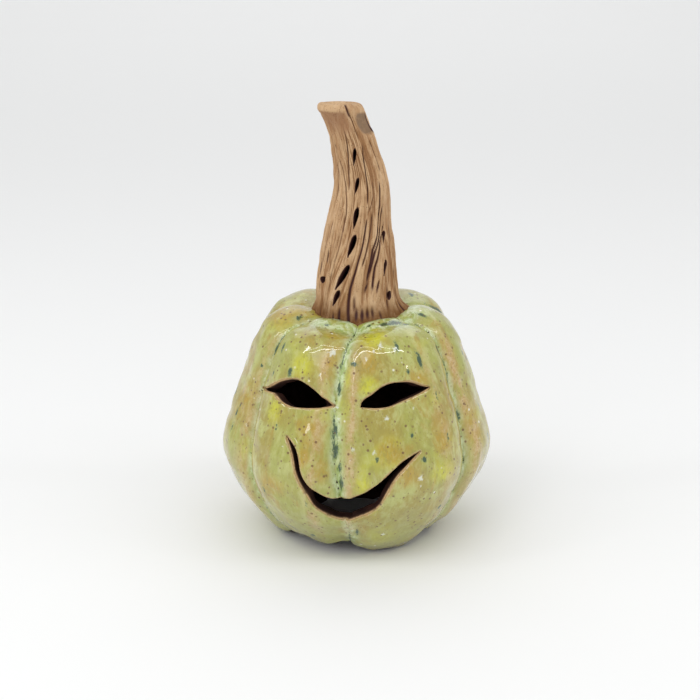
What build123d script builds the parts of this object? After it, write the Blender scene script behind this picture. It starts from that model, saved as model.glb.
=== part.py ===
"""Ceramic jack-o'-lantern figure: a hollow lobed pumpkin with a cut face and a tall bark-like stem.

Frame: +Z up, the foot stands on z = 0, the axis of the pumpkin is the Z axis and the face looks
along -Y. Azimuth is measured from the face, 0 at the front and positive towards +X.

Pieces: clay_body (hollow pumpkin wall), glaze_coat (glass skin over its outside), luting_coil
(clay ring that joins stem to body) and stem (hollow stem, closed at its top).
"""
import os
from math import atan2, cos, radians, sin, sqrt

from build123d import *

# Walls and layers, mm
WALL = 5.5  # clay wall of the pumpkin
GLAZE = 0.6  # fired glaze over the clay
GLAZE_CLEARANCE = 0.02  # keeps the two lofted surfaces from crossing
STEM_WALL = 4.5  # clay wall of the hollow stem

# Openings of the body, mm
BASE_HOLE_RADIUS = 29.0  # round opening in the foot, wide enough for an electric tea light
FOOT_RING_RADIUS = 33.5  # ring of clay round that opening, on which the figure stands
FOOT_RING_HEIGHT = 8.5
VENT_RADIUS = 9.0  # hole in the crown under the stem, vents the hollow stem

# Lobes: azimuths of the grooves between them, degrees
GROOVES = (-9, 57, 100, 153, 207, 260, 304)
SECTION_STEPS = (0, 0.08, 0.25, 0.5, 0.75, 0.92, 1)  # where each lobe is cut by a section

# Meridians (radius, height) from crown to foot, along a lobe's ridge and along a groove. They run
# a little below z = 0, where the foot is wiped flat.
RIDGE_LINE = (
    (6, 106), (16, 106.5), (25, 108.5), (33, 110.8), (40.5, 109), (47.5, 100.5), (53.5, 85),
    (60, 66), (65, 46), (61.5, 28), (52, 12), (41, 2), (33, -1.5), (24, -2),
)
GROOVE_LINE = (
    (6, 104.5), (16, 105), (25, 106), (33, 106.5), (39.5, 104), (45.5, 94), (50.5, 77),
    (55, 60), (57.5, 43), (55, 28), (48, 14), (40, 6), (33, 3), (24, 2),
)
GLAZE_TOP_RADIUS = 24.0  # the glaze starts at the luting coil
GLAZE_FOOT_HEIGHT = 4.0  # the foot is wiped clean of glaze up to here

# Face: each cut-out is an outline of an upper and a lower curve, (across, height) from left tip to
# right tip, on a vertical plane through the axis that faces the given azimuth
LEFT_EYE = {
    "azimuth": -27,
    "upper": ((-27, 79.8), (-14, 86.8), (-5.5, 88.7), (0.5, 87.3), (6.5, 83.8), (14, 79.3)),
    "lower": ((-27, 79.8), (-20, 80.8), (-13.5, 79), (-6.5, 77.2), (8, 78), (14, 79.3)),
}
RIGHT_EYE = {
    "azimuth": 20,
    "upper": ((-17, 79.2), (-13, 83.8), (-8, 87), (-3, 89), (3, 89), (9, 87.7), (17, 84.5)),
    "lower": ((-17, 79.2), (-10, 78.8), (-4.5, 79.6), (4.5, 81.4), (12, 82.8), (17, 84.5)),
}
MOUTH = {
    "azimuth": 0,
    "upper": ((-32, 64.5), (-28.3, 59), (-26, 50), (-20, 41.7), (-13, 37), (-4, 37),
              (3.2, 41.1), (9, 45.6), (19, 54.6), (28.5, 59)),
    "lower": ((-32, 64.5), (-30.2, 58), (-28.3, 49.5), (-22.6, 37.7), (-14.6, 28.6), (-5, 25.2),
              (5.6, 30.2), (12.4, 39.2), (18.6, 49.9), (28.5, 59)),
}
REACH = 90.0  # longer than any radius of the body

# Luting coil: a rounded ring of clay round the stem's base, in radius and height
COIL_INNER, COIL_OUTER = 15.0, 24.0
COIL_BOTTOM, COIL_TOP = 103.0, 109.5

# Stem: (height, middle in x, width in x, depth in y), foot to tip. It leans left near its tip.
STEM_SECTIONS = (
    (104.0, 1.5, 45.0, 43.5),
    (110.0, 1.5, 45.0, 43.0),
    (114.5, 0.8, 41.2, 39.4),
    (121.5, 0.2, 38.6, 36.0),
    (130.0, 0.3, 37.0, 34.5),
    (141.0, 0.8, 34.0, 32.0),
    (152.5, 1.0, 29.8, 28.5),
    (164.0, 2.0, 26.6, 25.5),
    (175.0, 1.6, 24.4, 23.0),
    (186.0, -0.9, 21.8, 21.3),
    (197.0, -4.3, 20.4, 20.0),
    (203.5, -7.0, 21.0, 20.0),
    (207.5, -8.1, 18.4, 17.4),
)
STEM_CLOSED_TOP = 2  # top sections that the hollow stops short of

# Slits torn through the front of the stem: (x, height of the middle, length, width, lean in degrees)
SLITS = (
    (-1.5, 184.2, 7.6, 1.4, 5),
    (-0.5, 171.0, 7.4, 1.4, 12),
    (-0.9, 156.5, 9.4, 1.7, 11),
    (-2.6, 143.8, 10.8, 2.2, 19),
    (-7.0, 129.2, 13.2, 2.2, 28),
    (-9.9, 119.4, 7.8, 1.7, 22),
    (12.2, 147.2, 5.5, 1.0, 3),
    (13.0, 133.1, 7.0, 1.0, 6),
    (15.0, 119.7, 4.0, 1.4, 0),
)

# Smoothed facet pressed into the stem's right front corner, just under the tip
FACET_MIDDLE = (-5.1, 0, 198.8)
FACET_AZIMUTH = 57
FACET_WIDTH, FACET_LENGTH = 10.0, 9.5
FACET_LEAN = 12
FACET_FROM_MIDDLE = 8.9


def meridian(azimuth):
    """Plane through the axis at an azimuth, with local x outwards and local y up."""
    turn = radians(azimuth)
    return Plane(origin=(0, 0, 0), x_dir=(sin(turn), -cos(turn), 0), z_dir=(-cos(turn), -sin(turn), 0))


def facing(azimuth):
    """Vertical plane through the axis that faces an azimuth, local x to the right, local y up."""
    turn = radians(azimuth)
    return Plane(origin=(0, 0, 0), x_dir=(cos(turn), sin(turn), 0), z_dir=(sin(turn), -cos(turn), 0))


def inset(line, depth):
    """A meridian line moved inwards, square to itself, by depth."""
    moved = []
    last = len(line) - 1
    for index, (radius, height) in enumerate(line):
        before, after = line[max(index - 1, 0)], line[min(index + 1, last)]
        slope = atan2(after[1] - before[1], after[0] - before[0])
        moved.append((radius + depth * sin(slope), height - depth * cos(slope)))
    return moved


def wall_section(azimuth, bulge, outer_depth, inner_depth):
    """Closed section of the wall at an azimuth: bulge is 0 in a groove and 1 on a ridge."""
    line = [
        (g[0] + (r[0] - g[0]) * bulge, g[1] + (r[1] - g[1]) * bulge)
        for g, r in zip(GROOVE_LINE, RIDGE_LINE)
    ]
    with BuildSketch(meridian(azimuth)) as section:
        with BuildLine():
            outer = Spline(*inset(line, outer_depth))
            inner = Spline(*inset(line, inner_depth))
            Line(outer @ 0, inner @ 0)
            Line(outer @ 1, inner @ 1)
        make_face()
    return section.sketch


def lobe_sections(index, outer_depth, inner_depth):
    """Sections of one lobe from its groove to the next one."""
    start = GROOVES[index]
    span = (GROOVES[(index + 1) % len(GROOVES)] - start) % 360
    return [
        wall_section(start + span * step, sqrt(1 - (2 * step - 1) ** 2), outer_depth, inner_depth)
        for step in SECTION_STEPS
    ]


def cut_out(face):
    """Solid that cuts one eye or the mouth through the front wall."""
    with BuildPart() as cutter:
        with BuildSketch(facing(face["azimuth"])):
            with BuildLine():
                Spline(*face["upper"])
                Spline(*face["lower"])
            make_face()
        extrude(amount=REACH)
    return cutter.part


def stem_profile(height, middle, width, depth, wall):
    """Cross-section of the stem, drawn in by wall."""
    with BuildSketch(Plane.XY.offset(height)) as section:
        with Locations((middle, 0)):
            Ellipse(width / 2 - wall, depth / 2 - wall)
    return section.sketch


# Clay body: lofted lobes of wall on a foot ring, fused, then wiped flat, opened and cut
with BuildPart() as clay_body:
    for lobe in range(len(GROOVES)):
        loft(sections=lobe_sections(lobe, GLAZE, GLAZE + WALL))
    with BuildSketch(Plane.XY):
        Circle(FOOT_RING_RADIUS)
    extrude(amount=FOOT_RING_HEIGHT)
    with BuildSketch(Plane.XY):
        Circle(REACH)
    extrude(amount=-10, mode=Mode.SUBTRACT)
    with BuildSketch(Plane.XY.offset(-5)):
        Circle(BASE_HOLE_RADIUS)
    extrude(amount=15, mode=Mode.SUBTRACT)
    with BuildSketch(Plane.XY.offset(90)):
        Circle(VENT_RADIUS)
    extrude(amount=30, mode=Mode.SUBTRACT)
    for feature in (LEFT_EYE, RIGHT_EYE, MOUTH):
        add(cut_out(feature), mode=Mode.SUBTRACT)
clay_body.part.label = "clay_body"

# Glaze coat: the outermost skin of the same lobes, open at the coil, at the foot and at the face
with BuildPart() as glaze_coat:
    for lobe in range(len(GROOVES)):
        loft(sections=lobe_sections(lobe, 0, GLAZE - GLAZE_CLEARANCE))
    with BuildSketch(Plane.XY.offset(GLAZE_FOOT_HEIGHT)):
        Circle(REACH)
    extrude(amount=-15, mode=Mode.SUBTRACT)
    with BuildSketch(Plane.XY.offset(90)):
        Circle(GLAZE_TOP_RADIUS)
    extrude(amount=30, mode=Mode.SUBTRACT)
    for feature in (LEFT_EYE, RIGHT_EYE, MOUTH):
        add(cut_out(feature), mode=Mode.SUBTRACT)
glaze_coat.part.label = "glaze_coat"

# Luting coil: ring with a rounded shoulder, seated on the crown
with BuildPart() as luting_coil:
    with BuildSketch(Plane.XZ):
        with BuildLine():
            Polyline((COIL_OUTER, COIL_TOP - 3), (COIL_OUTER, COIL_BOTTOM), (COIL_INNER, COIL_BOTTOM),
                     (COIL_INNER, COIL_TOP), (COIL_OUTER - 3, COIL_TOP))
            RadiusArc((COIL_OUTER - 3, COIL_TOP), (COIL_OUTER, COIL_TOP - 3), 3)
        make_face()
    revolve(axis=Axis.Z)
    add(clay_body.part, mode=Mode.SUBTRACT)
    add(luting_coil.part.solids().sort_by(SortBy.VOLUME)[-1], mode=Mode.REPLACE)
luting_coil.part.label = "luting_coil"

# Stem: lofted shell with a closed top and torn slits, seated on the body and the coil
with BuildPart() as stem:
    loft(sections=[stem_profile(*section, 0) for section in STEM_SECTIONS])
    loft(
        sections=[stem_profile(*section, STEM_WALL) for section in STEM_SECTIONS[:-STEM_CLOSED_TOP]],
        mode=Mode.SUBTRACT,
    )
    for x, height, length, width, lean in SLITS:
        with BuildSketch(Plane.XZ):
            with Locations(Location((x, height, 0), (0, 0, 90 - lean))):
                Ellipse(length / 2, width / 2)
        extrude(amount=REACH, mode=Mode.SUBTRACT)
    facet_plane = facing(FACET_AZIMUTH)
    facet_plane.origin = FACET_MIDDLE
    with BuildSketch(facet_plane.offset(FACET_FROM_MIDDLE)):
        Rectangle(FACET_WIDTH, FACET_LENGTH, rotation=FACET_LEAN)
    extrude(amount=FACET_WIDTH, mode=Mode.SUBTRACT)
    for neighbour in (clay_body, glaze_coat, luting_coil):
        add(neighbour.part, mode=Mode.SUBTRACT)
    add(stem.part.solids().sort_by(SortBy.VOLUME)[-1], mode=Mode.REPLACE)
stem.part.label = "stem"

os.makedirs("parts", exist_ok=True)
export_step(clay_body.part, "parts/clay_body.step")
export_step(glaze_coat.part, "parts/glaze_coat.step")
export_step(luting_coil.part, "parts/luting_coil.step")
export_step(stem.part, "parts/stem.step")
for piece in (clay_body, glaze_coat, luting_coil, stem):
    box = piece.part.bounding_box()
    print(piece.part.label, len(piece.part.solids()), round(piece.part.volume), box.min, box.max)
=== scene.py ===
from math import cos, pi, radians, sin

import bpy
import numpy as np
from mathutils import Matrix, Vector
from mathutils.geometry import delaunay_2d_cdt


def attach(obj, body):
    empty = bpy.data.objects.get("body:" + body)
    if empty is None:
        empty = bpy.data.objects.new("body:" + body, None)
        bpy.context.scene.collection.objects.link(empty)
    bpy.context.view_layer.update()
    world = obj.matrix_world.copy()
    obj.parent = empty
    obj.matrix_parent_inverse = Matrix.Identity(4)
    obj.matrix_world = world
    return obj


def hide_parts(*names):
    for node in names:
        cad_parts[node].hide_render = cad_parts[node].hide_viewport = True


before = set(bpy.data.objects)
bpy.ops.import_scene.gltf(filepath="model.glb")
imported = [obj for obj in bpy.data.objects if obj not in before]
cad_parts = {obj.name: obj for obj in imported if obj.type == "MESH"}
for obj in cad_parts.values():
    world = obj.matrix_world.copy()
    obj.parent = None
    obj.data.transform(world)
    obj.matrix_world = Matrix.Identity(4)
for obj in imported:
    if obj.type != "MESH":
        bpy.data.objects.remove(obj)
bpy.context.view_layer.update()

MM = 0.001
BODY = "root"

# ------------ the body's driving shape

GLAZE = 0.6  # thickness of the glaze over the clay
WALL = 5.5  # thickness of the clay wall
FOOT_THICKNESS = 5.0  # height of the wall where it turns in under the foot
RIM_RADIUS = 0.5  # rounding of the clay's cut edges
GLAZE_SETBACK = 0.3  # bare clay between a cut edge and the glaze
GROOVE_SOFTNESS = 0.014  # how rounded the bottom of a groove is, 0 is a sharp crease

# Meridians (radius, height) from the vent hole in the crown to the opening in the foot
RIDGE_LINE = (
    (9, 106.2), (16, 106.5), (25, 108.5), (33, 110.6), (40.5, 108.9), (47.5, 100.5), (53.5, 85),
    (60, 66), (65, 46), (60.2, 28), (49.8, 12), (39.5, 2), (33, -1.5), (29, -1.8),
)
GROOVE_LINE = (
    (9, 104.6), (16, 105), (25, 106), (33, 106.5), (39.5, 104), (45.5, 94), (50.5, 77),
    (55, 60), (57.5, 43), (55, 28), (48, 14), (40, 6), (33, 3), (29, 2.5),
)
BACK_LIFT = 2.2  # how much higher the crown is at the back
FRONT_DIP = 2.5  # how much lower the lobes' crests are at the front
CROWN_LIFT = 3.2  # how much higher the middle of the crown is, about half of it at the front
RIGHT_TUCK = 2.2  # how much further in the right lobes go above the foot
LEFT_RISE = 3.2  # how much higher the left front lobe ends above the floor
NOTCH_RISE = 2.4  # how much higher still the front groove ends
# Grooves between the lobes, each as azimuths at even steps from the crown to the foot
GROOVES = (
    (6, -4, -10, -11.5, -10.5, -7, -4.5, -5.5), (55, 57, 58.5, 59, 58, 57, 57, 57),
    (100, 100, 99, 98.5, 99, 100, 101, 101), (152, 153, 155, 155, 154, 153, 152, 152),
    (208, 207, 206, 205, 206, 207, 208, 208), (260, 261, 262, 261, 260, 260, 259, 259),
    (306, 304, 302, 301, 302, 304, 305, 306),
)
# Slight creases pushed out of the lobes: azimuth at the crown and at the foot, half width, height,
# and how far the glaze breaks to tan over them
RIBS = (
    (-1, -4.5, 2.6, 1.0, 0.95), (-16, -21.5, 2.8, 0.45, 0.8), (60.5, 67, 3.2, 0.6, 1.0),
    (37, 45, 3.4, 0.35, 0.45), (-59.5, -63, 3.0, 0.5, 0.65), (-84, -80, 3.4, 0.4, 0.2),
    (84, 80, 3.4, 0.35, 0.2), (121, 127, 3.4, 0.45, 0.6), (172, 168, 3.4, 0.5, 0.6),
    (190, 194, 3.4, 0.4, 0.5), (236, 231, 3.4, 0.45, 0.6),
)

# Face cut-outs: upper and lower edge, (across, height) from left tip to right tip, as seen on a
# vertical plane through the axis that faces the azimuth
LEFT_EYE = {
    "azimuth": -27,
    "upper": ((-27.2, 79), (-20, 82.9), (-13.8, 86.6), (-5.5, 88.7), (0.2, 87.5), (6.1, 84),
              (11.2, 80.9), (13.6, 78.4)),
    "lower": ((-27.2, 79), (-20.6, 80), (-16.5, 80.2), (-13.3, 78.9), (-6.7, 77.2),
              (7.4, 77.9), (13.6, 78.4)),
}
RIGHT_EYE = {
    "azimuth": 20,
    "upper": ((-17.2, 79), (-16, 81.6), (-12.8, 83.8), (-8.2, 87), (-3.4, 88.9), (2.7, 89),
              (8.4, 87.9), (13.7, 85.5), (17, 84.4)),
    "lower": ((-17.2, 79), (-10.2, 78.9), (-4.5, 79.7), (4.3, 81.4), (11.9, 82.8), (17, 84.4)),
}
MOUTH = {
    "azimuth": 0,
    "upper": ((-32.3, 64.8), (-28.3, 60), (-26.8, 55.4), (-26, 49.8), (-23.1, 44.1), (-18.6, 40.5),
              (-14.1, 37.4), (-8.2, 36.4), (-1.4, 38.4), (3.2, 41.1), (8.9, 45.6), (14.6, 50.7),
              (19.2, 54.6), (28.7, 59)),
    "lower": ((-32.3, 64.8), (-30.7, 60.2), (-29.2, 55), (-28.3, 49.5), (-25.5, 42.6),
              (-22.6, 37.7), (-19.8, 33), (-14.6, 28.4), (-8.8, 25.6), (-3.1, 25.3), (1.1, 27.5),
              (5.6, 30.2), (10.1, 34.6), (12.4, 39.2), (14.7, 44.1), (18.6, 49.9), (23.3, 54.4),
              (28.7, 59)),
}
FACE = (LEFT_EYE, RIGHT_EYE, MOUTH)

LINE_STEPS = 500
BODY_GRID, GLAZE_GRID = (200, 100), (330, 132)  # columns and rows of points in the unrolled sheets
CLOSE_UP = np.array((0.08, 0.24, 0.48, 0.8, 1.25, 1.9, 2.7))  # rings of points round a cut-out
FAR = 99.0  # clearance given to points that are nowhere near a cut-out
MARK_FADE = 5.2  # how many times over a mark fades across the depth of a wall


def spline(points, count):
    """Points along a natural cubic spline through the given ones, evenly spaced by chord."""
    knots = np.array(points, float)
    gaps = np.linalg.norm(np.diff(knots, axis=0), axis=1)
    at = np.concatenate(((0.0,), np.cumsum(gaps)))
    size = len(knots)
    matrix, right = np.eye(size), np.zeros_like(knots)
    for i in range(1, size - 1):
        matrix[i, i - 1:i + 2] = gaps[i - 1], 2 * (gaps[i - 1] + gaps[i]), gaps[i]
        right[i] = 6 * ((knots[i + 1] - knots[i]) / gaps[i] - (knots[i] - knots[i - 1]) / gaps[i - 1])
    bend = np.linalg.solve(matrix, right)
    u = np.linspace(0, at[-1], count)
    i = np.clip(np.searchsorted(at, u, side="right") - 1, 0, size - 2)
    h, after, before = gaps[i][:, None], (at[i + 1] - u)[:, None], (u - at[i])[:, None]
    return (
        bend[i] * after**3 / (6 * h) + bend[i + 1] * before**3 / (6 * h)
        + (knots[i] / h - bend[i] * h / 6) * after + (knots[i + 1] / h - bend[i + 1] * h / 6) * before
    )


def smooth(value, low, high):
    """0 below low, 1 above high, and a smooth step between."""
    t = np.clip((value - low) / (high - low), 0, 1)
    return t * t * (3 - 2 * t)


def between(value, low, rise, fall, high):
    """0 outside low and high, 1 from rise to fall, and smooth steps between."""
    return smooth(value, low, rise) * smooth(-value, -high, -fall)


def bell(offset, width):
    """1 where the offset is 0, falling smoothly to almost nothing at twice the width."""
    return np.exp(-((offset / width) ** 2))


def turned(azimuth, start):
    """Angle from start to the azimuth, from -180 up to 180."""
    return (azimuth - start + 180) % 360 - 180


def spline_at(values, share):
    """Smooth curve through evenly spaced values, at each share of the way along it."""
    values = np.concatenate((values[:1], values, values[-1:])).astype(float)
    u = np.clip(share, 0, 1) * (len(values) - 3)
    i = np.minimum(u.astype(int), len(values) - 4)
    t = u - i
    a, b, c, d = values[i], values[i + 1], values[i + 2], values[i + 3]
    return b + 0.5 * t * (c - a + t * (2 * a - 5 * b + 4 * c - d + t * (3 * (b - c) + d - a)))


def waves(points, size, seed, count=20):
    """Smooth random relief about size across, roughly -1 to 1, the same on every run."""
    rng = np.random.default_rng(seed)
    ways = rng.normal(size=(count, 3))
    ways *= (2 * pi / size * rng.uniform(0.6, 1.4, count) / np.linalg.norm(ways, axis=1))[:, None]
    return np.sin(points @ ways.T + rng.uniform(0, 2 * pi, count)).sum(1) / np.sqrt(count)


STEPS = np.linspace(0, 1, LINE_STEPS)
RIDGE, GROOVE = spline(RIDGE_LINE, LINE_STEPS), spline(GROOVE_LINE, LINE_STEPS)
MERIDIAN_LENGTH = np.linalg.norm(np.diff(RIDGE, axis=0), axis=1).sum()
MEAN_RADIUS = 57.0
GIRTH = 2 * pi * MEAN_RADIUS


def along(line, step):
    return np.stack([np.interp(step, STEPS, line[:, 0]), np.interp(step, STEPS, line[:, 1])], 1)


def bulge_at(azimuth, step):
    """0 in a groove, 1 on the ridge of a lobe."""
    edges = [spline_at(course, step) for course in GROOVES]
    edges.append(edges[0] + 360)
    turn = (azimuth - edges[0]) % 360
    bulge = np.zeros_like(turn)
    for low, high in zip(edges, edges[1:]):
        phase = (turn - (low - edges[0])) / (high - low)
        here = (phase >= 0) & (phase <= 1)
        lift = np.sqrt(1 + GROOVE_SOFTNESS - (2 * phase[here] - 1) ** 2) - np.sqrt(GROOVE_SOFTNESS)
        bulge[here] = lift / (np.sqrt(1 + GROOVE_SOFTNESS) - np.sqrt(GROOVE_SOFTNESS))
    return bulge


def rib_at(azimuth, step):
    """How tan the glaze breaks over the slight creases here, 0 to 1, and their height."""
    tint, height = np.zeros_like(azimuth), np.zeros_like(azimuth)
    fade = between(step, 0.16, 0.3, 0.75, 0.93)
    for top, foot, half_width, rise, tan in RIBS:
        here = bell(turned(azimuth, top + (foot - top) * step), half_width) * fade
        tint = np.maximum(tint, tan * here)
        height += rise * here
    return tint, height


def body_point(azimuth, step):
    """Outside of the glazed body at an azimuth and a step down its meridian."""
    bulge = bulge_at(azimuth, step)[:, None]
    flat = along(GROOVE, step) * (1 - bulge) + along(RIDGE, step) * bulge
    below = np.clip(step + 0.004, 0, 1)
    above = np.clip(step - 0.004, 0, 1)
    way = (along(GROOVE, below) - along(GROOVE, above)) * (1 - bulge)
    way += (along(RIDGE, below) - along(RIDGE, above)) * bulge
    way /= np.linalg.norm(way, axis=1)[:, None]
    turn = np.radians(azimuth)
    ahead = np.cos(turn)
    flat[:, 1] += BACK_LIFT * smooth(-ahead, 0, 0.8) * between(step, 0.02, 0.2, 0.22, 0.5)
    flat[:, 1] -= FRONT_DIP * smooth(ahead, 0.3, 0.8) * between(step, 0.08, 0.15, 0.26, 0.42)
    left_front = np.exp(-((turned(azimuth, -33) / 24) ** 4))
    flat[:, 1] += LEFT_RISE * left_front * smooth(step, 0.7, 0.86)
    notch = bell(turned(azimuth, -9), 7)
    flat[:, 1] += NOTCH_RISE * notch * smooth(step, 0.76, 0.88)
    right_side = np.exp(-((turned(azimuth, 62) / 38) ** 4))
    flat[:, 0] -= RIGHT_TUCK * right_side * between(step, 0.6, 0.78, 0.88, 0.98)
    side = smooth(-ahead, -0.85, -0.1)
    flat[:, 1] += CROWN_LIFT * side * smooth(-step, -0.2, -0.1)
    flat[:, 1] += 0.6 * CROWN_LIFT * (1 - side) * smooth(-step, -0.135, -0.085)
    around = np.stack([flat[:, 0] * np.sin(turn), -flat[:, 0] * np.cos(turn), flat[:, 1]], 1)
    rise = rib_at(azimuth, step)[1] + 0.42 * waves(around, 26, 3) + 0.16 * waves(around, 9, 4)
    radius = flat[:, 0] - way[:, 1] * rise
    height = flat[:, 1] + way[:, 0] * rise
    return np.stack([radius * np.sin(turn), -radius * np.cos(turn), height], 1)


def body_normal(azimuth, step):
    across = body_point(azimuth + 0.4, step) - body_point(azimuth - 0.4, step)
    down = body_point(azimuth, np.minimum(step + 0.003, 1))
    down -= body_point(azimuth, np.maximum(step - 0.003, 0))
    normal = np.cross(down, across)
    return normal / np.linalg.norm(normal, axis=1)[:, None]


# ------------ sheets, cut-outs and shells

def outline_on_body(feature, samples=90):
    """A cut-out's closed outline laid on the body, as (across, down) on the unrolled sheet."""
    upper, lower = spline(feature["upper"], samples), spline(feature["lower"], samples)
    loop = np.concatenate([upper, lower[-2:0:-1]])
    side = np.linspace(0.22, 1, 600)
    laid = []
    azimuth, step = float(feature["azimuth"]), 0.5
    for across, height in loop:
        for _ in range(12):
            heights = body_point(np.full(600, azimuth), side)[:, 2]
            step = np.interp(-height, -heights, side)
            point = body_point(np.array([azimuth]), np.array([step]))[0]
            reach = np.hypot(point[0], point[1])
            azimuth = feature["azimuth"] + np.degrees(np.arcsin(np.clip(across / reach, -0.99, 0.99)))
        laid.append((azimuth / 360 * GIRTH, step * MERIDIAN_LENGTH))
    return np.array(laid)


def respaced(loop, gap):
    """The same closed outline with its points about gap apart."""
    closed = np.vstack([loop, loop[:1]])
    at = np.concatenate(((0.0,), np.cumsum(np.linalg.norm(np.diff(closed, axis=0), axis=1))))
    count = max(8, round(at[-1] / gap))
    want = np.linspace(0, at[-1], count, endpoint=False)
    return np.stack([np.interp(want, at, closed[:, 0]), np.interp(want, at, closed[:, 1])], 1)


def grown(loop, distance):
    """Closed outline moved outwards, each point square to the outline."""
    way = np.roll(loop, -1, 0) - np.roll(loop, 1, 0)
    way /= np.maximum(np.linalg.norm(way, axis=1), 1e-9)[:, None]
    area = (loop[:, 0] * np.roll(loop[:, 1], -1) - np.roll(loop[:, 0], -1) * loop[:, 1]).sum()
    out = np.stack([way[:, 1], -way[:, 0]], 1) * (1 if area > 0 else -1)
    return loop + out * np.reshape(distance, (-1, 1))


def clearance(points, loops):
    """Distance from each point to the nearest outline, FAR where it is well away."""
    nearest = np.full(len(points), FAR)
    for loop in loops:
        low, high = loop.min(0) - 6, loop.max(0) + 6
        near = np.where(((points > low) & (points < high)).all(1))[0]
        dense = respaced(loop, 0.25)
        for part in np.array_split(near, max(1, len(near) // 4000)):
            gap = np.linalg.norm(points[part][:, None] - dense[None], axis=2).min(1)
            nearest[part] = np.minimum(nearest[part], gap)
    return nearest


def inside(points, loop):
    """True for each point within the closed outline."""
    x, y = points[:, 0][:, None], points[:, 1][:, None]
    x1, y1 = loop[:, 0], loop[:, 1]
    x2, y2 = np.roll(x1, -1), np.roll(y1, -1)
    with np.errstate(divide="ignore", invalid="ignore"):
        crossing = ((y1 > y) != (y2 > y)) & (x < (x2 - x1) * (y - y1) / (y2 - y1) + x1)
    return crossing.sum(1) % 2 == 1


def compact(triangles):
    """The points that some triangle uses, and the triangles numbered by these points alone."""
    used, numbered = np.unique(triangles, return_inverse=True)
    return used, numbered.reshape(triangles.shape)


def sheet(width, length, columns, rows, loops, rings, staggered=True):
    """Triangle mesh of a rectangle joined left to right into a tube, with the loops cut out.

    Returns its points (across, down), its triangles and each point's clearance from a cut edge.
    """
    across = np.linspace(-width / 2, width / 2, columns + 1)
    shifted = np.concatenate((across[:1], (across[:-1] + across[1:]) / 2, across[-1:]))
    grid = np.concatenate([
        np.stack([xs, np.full(len(xs), y)], 1)
        for row, y in enumerate(np.linspace(0, length, rows + 1))
        for xs in [shifted if staggered and row % 2 else across]
    ])
    room = rings[-1] + 0.45 * width / columns if len(rings) else 0.25 * width / columns
    blocked = clearance(grid, loops) < room
    for loop in loops:
        near = np.where(clearance(grid, [loop]) < FAR)[0]
        blocked[near[inside(grid[near], loop)]] = True
    parts = [grid[~blocked]]
    for ring in rings:
        for loop in loops:
            points = grown(loop, ring)
            parts.append(points[(clearance(points, loops) > 0.9 * ring) & ~inside(points, loop)])
    edges = []
    first = sum(len(part) for part in parts)
    for loop in loops:
        count = len(loop)
        edges += [(first + i, first + (i + 1) % count) for i in range(count)]
        parts.append(loop)
        first += count
    flat = [Vector(point) for point in np.concatenate(parts)]
    made = delaunay_2d_cdt(flat, edges, [], 0, 1e-5, False)
    points = np.array([tuple(v) for v in made[0]])
    triangles = np.array(made[2])
    middle = points[triangles].mean(1)
    keep = np.ones(len(triangles), bool)
    for loop in loops:
        near = ((middle > loop.min(0)) & (middle < loop.max(0))).all(1)
        index = np.where(near)[0]
        keep[index[inside(middle[index], loop)]] = False
    triangles = triangles[keep]
    left = {round(y, 4): i for i, (x, y) in enumerate(points) if abs(x + width / 2) < 1e-4}
    weld = np.arange(len(points))
    for i, (x, y) in enumerate(points):
        if abs(x - width / 2) < 1e-4:
            weld[i] = left[round(y, 4)]
    used, triangles = compact(weld[triangles])
    points = points[used]
    return points, triangles, clearance(points, loops)


def linked(name, data):
    """New object with the data, in the scene."""
    made = bpy.data.objects.new(name, data)
    bpy.context.collection.objects.link(made)
    return made


def new_mesh(name, vertices, faces, material):
    """Smooth-shaded mesh with vertices in metres."""
    mesh = bpy.data.meshes.new(name)
    mesh.from_pydata(vertices, [], faces)
    mesh.polygons.foreach_set("use_smooth", [True] * len(mesh.polygons))
    mesh.materials.append(material)
    return mesh


def add_mark(mesh, name, values):
    """A named number on each vertex, for the material."""
    mesh.attributes.new(name, "FLOAT", "POINT").data.foreach_set("value", values.astype(np.float32))


def shell(name, triangles, outer, inner, wall_rows, material, marks):
    """Closed mesh between two sheets of the same triangles, with a wall along every open edge.

    marks holds, by name, a number for each point of the outer sheet and the one that the inner
    sheet has, reached a short way into the walls.
    """
    a, b, c = outer[triangles[:, 0]], outer[triangles[:, 1]], outer[triangles[:, 2]]
    facing_out = (np.cross(b - a, c - a) * (outer - inner)[triangles[:, 0]]).sum(1) > 0
    triangles = np.where(facing_out[:, None], triangles, triangles[:, ::-1])
    count = len(outer)
    ways = np.concatenate([triangles[:, (0, 1)], triangles[:, (1, 2)], triangles[:, (2, 0)]])
    code, back = ways[:, 0] * count + ways[:, 1], ways[:, 1] * count + ways[:, 0]
    rim = ways[~np.isin(code, back)]
    rim_points = np.unique(rim)
    at_rim = np.zeros(count, int)
    at_rim[rim_points] = np.arange(len(rim_points))
    rows, vertices = [rim_points], [outer, inner]
    start = 2 * count
    for row in range(1, wall_rows):
        share = row / wall_rows
        vertices.append(outer[rim_points] * (1 - share) + inner[rim_points] * share)
        rows.append(start + np.arange(len(rim_points)))
        start += len(rim_points)
    rows.append(rim_points + count)
    faces = triangles.tolist() + (triangles[:, ::-1] + count).tolist()
    head, tail = at_rim[rim[:, 0]], at_rim[rim[:, 1]]
    for upper, lower in zip(rows, rows[1:]):
        faces += np.stack([upper[tail], upper[head], lower[head], lower[tail]], 1).tolist()
    mesh = new_mesh(name, (np.concatenate(vertices) * MM).tolist(), faces, material)
    for mark, (values, within) in marks.items():
        full = [values, np.full(count, within)]
        for row in range(1, wall_rows):
            fade = max(0.0, 1 - MARK_FADE * row / wall_rows)
            full.append(within + (values[rim_points] - within) * fade)
        add_mark(mesh, mark, np.concatenate(full))
    mesh.validate()
    return linked(name, mesh)


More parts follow.
